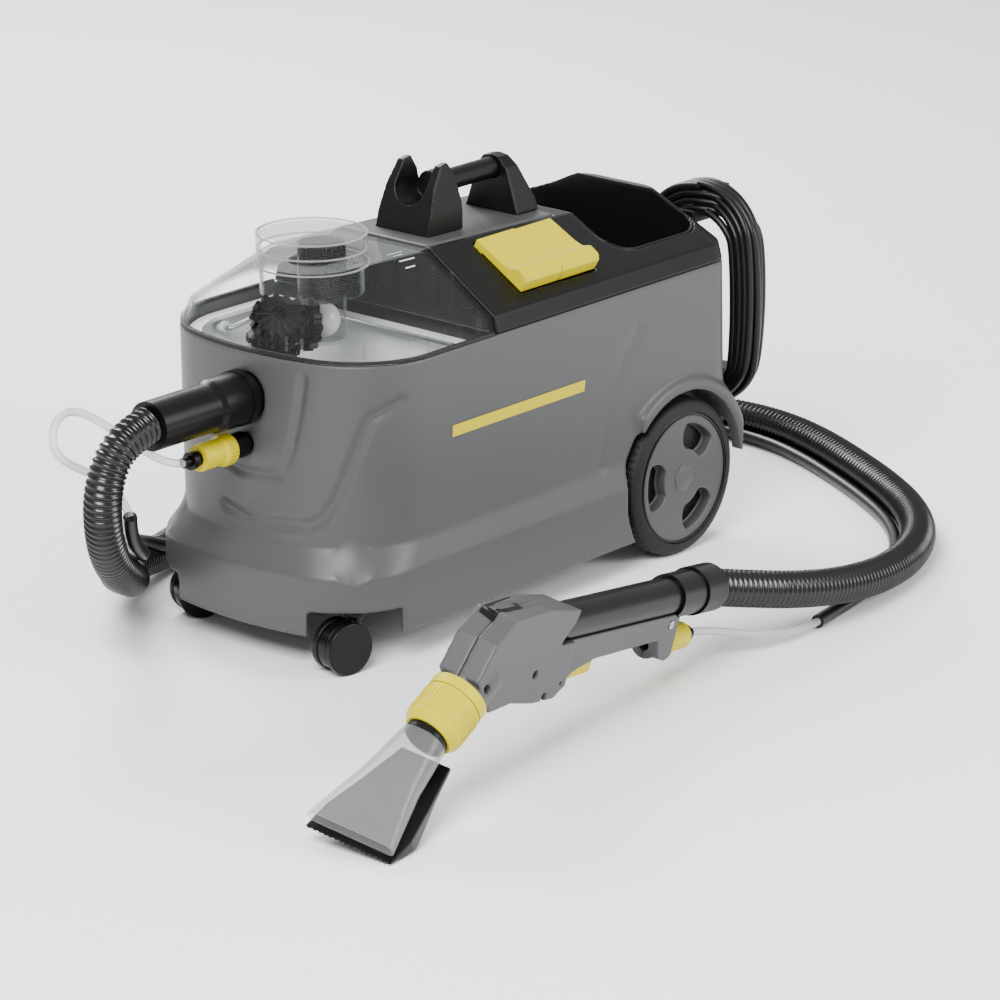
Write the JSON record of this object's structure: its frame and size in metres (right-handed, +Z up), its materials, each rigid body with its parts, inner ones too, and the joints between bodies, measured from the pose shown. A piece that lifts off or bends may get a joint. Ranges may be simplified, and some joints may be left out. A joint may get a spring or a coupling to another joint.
{
  "type": "spray extraction cleaning machine",
  "caption": "Wheeled spray extraction cleaner with clear-lidded tank, fork handle, corrugated suction hose, spray hose and hand wand with wide nozzle.",
  "frame": {"origin": "on the floor under the middle of the machine's housing", "axes": "+X towards the wheels and cable at the rear, -X towards the hose port, -Y the side with the switches, +Z up"},
  "size_m": [1.2298, 0.8394, 0.447],
  "materials": {
    "housing_grey": "fine textured mid grey",
    "cover_black": "fine textured charcoal",
    "grip_black": "soft ribbed black",
    "part_black": "satin black",
    "castor_black": "hard black tread",
    "tyre_black": "finely ribbed black",
    "hose_black": "glossy black corrugation",
    "sheath_black": "smooth satin black",
    "cable_black": "smooth satin black",
    "gasket_dark": "matte dark",
    "signal_yellow": "bright yellow",
    "lid_clear": "clear moulded plastic",
    "spray_clear": "clear flexible tube",
    "tank_pale": "pale moulded plastic",
    "float_grey": "dark grey moulded cage",
    "float_white": "white ball",
    "steel": "bright steel"
  },
  "bodies": {
    "root": {"body_housing": "housing_grey", "cable_gland": "part_black", "cable_hank": "cable_black", "cable_hook": "cover_black", "centre_panel": "housing_grey", "coupling_nipple_machine": "part_black", "coupling_nipple_wand": "part_black", "fork_support": "cover_black", "grip_bar": "grip_black", "hose_cuff_machine": "part_black", "hose_cuff_wand": "part_black", "inlet_elbow": "part_black", "lid_gasket": "gasket_dark", "mains_plug": "cable_black", "motor_can": "steel", "nozzle_cover": "lid_clear", "nozzle_neck": "part_black", "nozzle_plate": "part_black", "power_cable": "cable_black", "pump_body": "cover_black", "rear_axle": "steel", "rear_support": "cover_black", "recovery_tank": "tank_pale", "sheath": "sheath_black", "spray_hose_front": "spray_clear", "spray_hose_rear": "spray_clear", "spray_socket": "part_black", "storage_tray": "cover_black", "suction_hose": "hose_black", "suction_port": "part_black", "switch_rod": "steel", "tank_bail": "steel", "top_cover": "cover_black", "trigger_pin": "steel", "turbine_housing": "cover_black", "under_plate": "housing_grey", "wand_screws": "steel", "wand_shell_far": "housing_grey", "wand_shell_near": "housing_grey", "wand_tube": "part_black"},
    "wheel_near": {"wheel_disc_near": "housing_grey", "tyre_near": "tyre_black"},
    "wheel_far": {"wheel_disc_far": "housing_grey", "tyre_far": "tyre_black"},
    "castor_near": {"castor_hood_near": "part_black"},
    "castor_far": {"castor_hood_far": "part_black"},
    "castor_roll_near": {"castor_wheels_near": "castor_black", "castor_axle_near": "steel"},
    "castor_roll_far": {"castor_wheels_far": "castor_black", "castor_axle_far": "steel"},
    "rocker_front": {"switch_rocker_front": "signal_yellow"},
    "rocker_back": {"switch_rocker_back": "signal_yellow"},
    "lid": {"clear_lid": "lid_clear", "float_cage": "float_grey"},
    "float": {"float_ball": "float_white"},
    "fan": {"impeller": "part_black"},
    "sleeve_machine": {"coupling_sleeve_machine": "signal_yellow"},
    "sleeve_wand": {"coupling_sleeve_wand": "signal_yellow"},
    "trigger": {"trigger": "signal_yellow"},
    "nut": {"union_nut": "signal_yellow"}
  },
  "joints": [
    {"name": "wheel_near_spin", "type": "hinge", "parent": "root", "child": "wheel_near", "pos_m": [0.222, -0.13, 0.084], "axis": [0, 1, 0], "continuous": true},
    {"name": "wheel_far_spin", "type": "hinge", "parent": "root", "child": "wheel_far", "pos_m": [0.222, 0.13, 0.084], "axis": [0, 1, 0], "continuous": true},
    {"name": "castor_near_swivel", "type": "hinge", "parent": "root", "child": "castor_near", "pos_m": [-0.253, -0.116, 0.06], "axis": [0, 0, 1], "continuous": true},
    {"name": "castor_far_swivel", "type": "hinge", "parent": "root", "child": "castor_far", "pos_m": [-0.253, 0.116, 0.06], "axis": [0, 0, 1], "continuous": true},
    {"name": "castor_near_roll", "type": "hinge", "parent": "castor_near", "child": "castor_roll_near", "pos_m": [-0.26876, -0.11322, 0.0265], "axis": [-0.1736, -0.9848, 0], "continuous": true},
    {"name": "castor_far_roll", "type": "hinge", "parent": "castor_far", "child": "castor_roll_far", "pos_m": [-0.2385, 0.10924, 0.0265], "axis": [0.4226, 0.9063, 0], "continuous": true},
    {"name": "front_switch_press", "type": "hinge", "parent": "root", "child": "rocker_front", "pos_m": [0.0085, -0.07204, 0.36581], "axis": [1, 0, 0], "range_deg": [0, 5]},
    {"name": "back_switch_press", "type": "hinge", "parent": "root", "child": "rocker_back", "pos_m": [0.0665, -0.07204, 0.36581], "axis": [1, 0, 0], "range_deg": [0, 5]},
    {"name": "lid_lift", "type": "slide", "parent": "root", "child": "lid", "axis": [0, 0, 1], "range_m": [0, 0.13]},
    {"name": "float_rise", "type": "slide", "parent": "lid", "child": "float", "axis": [0, 0, 1], "range_m": [0, 0.038]},
    {"name": "fan_spin", "type": "hinge", "parent": "root", "child": "fan", "pos_m": [0.04, 0.03, 0.194], "axis": [0, 0, 1], "continuous": true},
    {"name": "machine_coupling_pull", "type": "slide", "parent": "root", "child": "sleeve_machine", "axis": [-1, 0, 0], "range_m": [0, 0.004], "stiffness_N_per_m": 400, "springref_m": -0.003},
    {"name": "wand_coupling_pull", "type": "slide", "parent": "root", "child": "sleeve_wand", "axis": [0.9732, 0.1507, -0.1736], "range_m": [0, 0.004], "stiffness_N_per_m": 400, "springref_m": -0.003},
    {"name": "trigger_press", "type": "hinge", "parent": "root", "child": "trigger", "pos_m": [-0.31644, -0.40668, 0.08073], "axis": [0.1209, -0.9778, -0.171], "range_deg": [0, 7], "stiffness_Nm_per_rad": 0.8, "springref_deg": -8.59},
    {"name": "nut_turn", "type": "hinge", "parent": "root", "child": "nut", "pos_m": [-0.45424, -0.42836, 0.10733], "axis": [-0.8712, -0.0219, -0.4904], "continuous": true}
  ]
}
